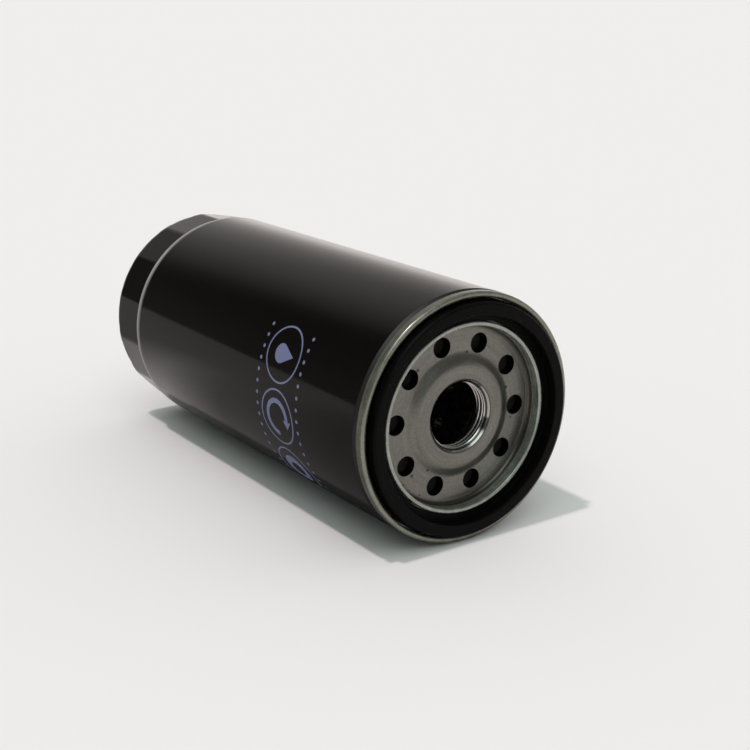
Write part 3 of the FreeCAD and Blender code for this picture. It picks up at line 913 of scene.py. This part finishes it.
hubSet = {
    "start": (21.1, 2.0),       # radius and height where the hub begins to fall
    "foot": (27.8, -0.6),
    "inner": 15.8,
    "margin": (0.1, 0.3),       # round the foot, in radius and height
    "shortest": 1.0,            # of the edges that are cut, in radius
    "cuts": 8,
}


def roundHub(bm):
    # the pressed hub falls to the plate's floor in one soft curve
    (startR, startX), (footR, footX) = hubSet["start"], hubSet["foot"]
    marginR, marginX = hubSet["margin"]

    def radius(vert):
        return math.hypot(vert.co.y, vert.co.z) / mm

    def onHub(vert):
        return vert.co.x / mm > footX - marginX and hubSet["inner"] < radius(vert) < footR + marginR

    def fall(edge):
        return abs(radius(edge.verts[0]) - radius(edge.verts[1]))

    across = [edge for edge in bm.edges if all(onHub(v) for v in edge.verts)
              and fall(edge) > hubSet["shortest"]]
    bmesh.ops.subdivide_edges(bm, edges=across, cuts=hubSet["cuts"], use_grid_fill=True)
    for vert in bm.verts:
        r = radius(vert)
        if onHub(vert) and startR < r < footR:
            share = (r - startR) / (footR - startR)
            fallen = share ** 2 * (3 - 2 * share)
            vert.co.x = (startX + (footX - startX) * fallen) * mm


springSets = {
    "support_spring": {"piece": "supportCoil", "joint": "element_float", "body": "housing",
                       "radius": 26.0, "wire": 3.0, "turns": 2.25, "fixedEnd": "low"},
    "anti_drain_spring": {"piece": "antiDrainCoil", "joint": "anti_drain_slide", "body": "element",
                          "radius": 30.2, "wire": 1.1, "turns": 2.5, "fixedEnd": "low"},
    "bypass_spring": {"piece": "bypassCoil", "joint": "bypass_slide", "body": "element",
                      "radius": 6.5, "wire": 1.2, "turns": 6.0, "fixedEnd": "high"},
}
coilSet = {
    "sides": 12,
    "stepsPerTurn": 48,
}


def makeSpring(cadName):
    spring = springSets[cadName]
    low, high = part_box(cadName)
    half = spring["wire"] * mm / 2
    length = high.x - low.x
    steps = int(spring["turns"] * coilSet["stepsPerTurn"])
    rise = (length - 2 * half) / steps
    bm = bmesh.new()
    ring = bmesh.ops.create_circle(bm, segments=coilSet["sides"], radius=half, cap_ends=True)["verts"]
    bmesh.ops.rotate(bm, verts=ring, cent=(0, 0, 0), matrix=Matrix.Rotation(math.pi / 2, 3, "Z"))
    bmesh.ops.translate(bm, verts=ring, vec=(low.x + half, spring["radius"] * mm, 0))
    bmesh.ops.spin(bm, geom=bm.faces[:], cent=(0, 0, 0), axis=(1, 0, 0), dvec=(rise, 0, 0),
                   angle=spring["turns"] * math.tau, steps=steps, use_merge=False,
                   use_normal_flip=False, use_duplicate=False)
    bmesh.ops.recalc_face_normals(bm, faces=bm.faces)
    piece = makePiece(spring["piece"], bm, spring["body"], "spring_steel", [cadName])
    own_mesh(piece)


makeCan()
makeLid()
makeGasket()
smoothCopy("basePlate", "tapping_plate", 28, roundHub)
smoothCopy("centreTube", "centre_tube", 30)
for name in springSets:
    makeSpring(name)
print("pieces made")

floorSet = {
    "height": -54.0,
    "size": 80000.0,
    "colour": (0.88, 0.85, 0.845),
    "mirrored": (0.93, 0.85, 0.85),     # at most, as shiny surfaces see the floor
    "behind": (0.0, 90.0),              # along Y - X, past the object's left side
    "behindLevels": (0.19, 0.32),
    "patch": (110.0, 175.0),            # a painted brighter patch farther back, seen only in reflections, along Y - X
    "patchLevel": 0.44,
    "patchY": (-200.0, -50.0),
    "patchX": (-370.0, -260.0),
    "rightY": (-30.0, 80.0),
    "frontX": (0.0, 20.0),
}


def makeFloor():
    bm = bmesh.new()
    bmesh.ops.create_grid(bm, x_segments=1, y_segments=1, size=floorSet["size"] * mm / 2)
    mesh = bpy.data.meshes.new("floor")
    bm.to_mesh(mesh)
    bm.free()
    floor = bpy.data.objects.new("floor", mesh)
    floor.location.z = floorSet["height"] * mm
    scene.collection.objects.link(floor)
    material = bpy.data.materials.new("paleFloor")
    material.use_nodes = True
    tree = material.node_tree
    tree.nodes.clear()
    rays = node(tree, "ShaderNodeLightPath").outputs
    point = node(tree, "ShaderNodeTexCoord").outputs["Object"]
    place = node(tree, "ShaderNodeSeparateXYZ", {0: point}).outputs

    def rise(value, key, start=0.0, end=1.0):
        low, high = floorSet[key]
        return ramp(tree, value, low * mm, high * mm, start, end)

    # painted shade for reflections only: shiny surfaces see the floor drawn dimmer on the side away from
    # the bright wall, with a painted brighter patch farther back
    back = calc(tree, "SUBTRACT", place["Y"], place["X"])
    patch = calc(tree, "MULTIPLY", rise(back, "patch", 0.0, floorSet["patchLevel"]),
                 rise(place["Y"], "patchY"))
    patch = calc(tree, "MULTIPLY", patch, rise(place["X"], "patchX"))
    left = calc(tree, "ADD", rise(back, "behind", *floorSet["behindLevels"]), patch)
    right = calc(tree, "MAXIMUM", rise(place["Y"], "rightY"), rise(place["X"], "frontX"))
    dim = blendColour(tree, calc(tree, "MAXIMUM", left, right), (0, 0, 0), floorSet["mirrored"])
    colour = blendColour(tree, rays["Is Glossy Ray"], floorSet["colour"], dim)
    shader = node(tree, "ShaderNodeBsdfDiffuse", {"Color": colour})
    out = node(tree, "ShaderNodeOutputMaterial")
    tree.links.new(shader.outputs[0], out.inputs["Surface"])
    mesh.materials.append(material)


domeSet = {
    "backColour": (0.875, 0.87, 0.855),
    "light": (0.46, 0.5, 0.482),
    "lean": 0.34,                   # how much brighter the dome is towards its bright side
    "brightSide": (-0.5, 0.866, 0.0),
    "tint": (1.04, 0.98, 0.95),     # of the dome as shiny surfaces see it
    "byHeight": [(0.0, 1.0), (0.11, 1.0), (0.19, 0.8), (0.28, 0.6), (0.37, 0.48), (0.5, 0.36),
                 (0.7, 0.3), (1.0, 0.35)],
    "byBearing": [(0.0, 0.35), (0.17, 0.6), (0.3, 1.0), (0.46, 1.0), (0.49, 0.85), (0.508, 0.65),
                  (0.525, 0.45), (0.542, 0.16), (0.556, 0.06), (0.75, 0.06), (0.88, 0.1), (0.95, 0.3),
                  (1.0, 0.35)],
    "overhead": (0.75, 1.0),        # heights where the bearing stops counting
    "windowPlace": (0.505, -0.303, 0.808),
    "windowHalf": 23.0,
    "windowEdge": 0.25,             # half width of its soft edge, as a share of windowHalf
    "windowLight": (1.75, 1.95, 1.88),
}


def makeDome():
    world = bpy.data.worlds.new("dome")
    scene.world = world
    world.use_nodes = True
    tree = world.node_tree
    tree.nodes.clear()
    rays = node(tree, "ShaderNodeLightPath").outputs
    direction = node(tree, "ShaderNodeTexCoord").outputs["Generated"]
    parts = node(tree, "ShaderNodeSeparateXYZ", {0: direction}).outputs

    def curve(value, stops):
        made = node(tree, "ShaderNodeValToRGB", {"Fac": value})
        elements = made.color_ramp.elements
        elements[0].position, elements[1].position = stops[0][0], stops[-1][0]
        elements[0].color = (stops[0][1],) * 3 + (1,)
        elements[1].color = (stops[-1][1],) * 3 + (1,)
        for place, level in stops[1:-1]:
            elements.new(place).color = (level,) * 3 + (1,)
        return made.outputs["Color"]

    def towards(way):
        return node(tree, "ShaderNodeVectorMath", {0: direction, 1: way},
                    operation="DOT_PRODUCT").outputs["Value"]

    bearing = calc(tree, "DEGREES", calc(tree, "ARCTAN2", parts["Y"], parts["X"]))
    bearing = calc(tree, "DIVIDE", calc(tree, "FLOORED_MODULO", bearing, 360.0), 360.0)
    byHeight = curve(parts["Z"], domeSet["byHeight"])
    byBearing = curve(bearing, domeSet["byBearing"])
    overhead = ramp(tree, parts["Z"], *domeSet["overhead"])
    byBearing = blendColour(tree, overhead, byBearing, (1, 1, 1))
    mirrored = blendColour(tree, 1.0, byHeight, byBearing, "MULTIPLY")
    mirrored = blendColour(tree, 1.0, mirrored, domeSet["tint"], "MULTIPLY")
    lean = calc(tree, "MULTIPLY", towards(domeSet["brightSide"]), domeSet["lean"])
    soft = blendColour(tree, 1.0, domeSet["light"], grey(tree, lean), "ADD")
    colour = blendColour(tree, rays["Is Glossy Ray"], soft, mirrored)
    # a soft window above the open end
    half, edge = math.radians(domeSet["windowHalf"]), domeSet["windowEdge"]
    window = ramp(tree, towards(domeSet["windowPlace"]), math.cos(half * (1 + edge)),
                  math.cos(half * (1 - edge)))
    colour = blendColour(tree, window, colour, domeSet["windowLight"])
    colour = blendColour(tree, rays["Is Camera Ray"], colour, domeSet["backColour"])
    back = node(tree, "ShaderNodeBackground", {"Color": colour, "Strength": 1.0})
    out = node(tree, "ShaderNodeOutputWorld")
    tree.links.new(back.outputs[0], out.inputs["Surface"])


lampSet = {
    "power": 1.05,
    "colour": (1.05, 0.94, 0.98),
    "spread": 3.0,
    "tilt": 17.0,           # from straight down, towards +Y
}


def makeLamp():
    data = bpy.data.lights.new("lamp", "SUN")
    data.energy = lampSet["power"]
    data.angle = math.radians(lampSet["spread"])
    data.color = lampSet["colour"]
    lamp = bpy.data.objects.new("lamp", data)
    tilt = math.radians(lampSet["tilt"])
    beam = Vector((0, math.sin(tilt), -math.cos(tilt)))
    lamp.rotation_euler = beam.to_track_quat("-Z", "Y").to_euler()
    scene.collection.objects.link(lamp)


makeFloor()
makeDome()
makeLamp()
print("stage made")
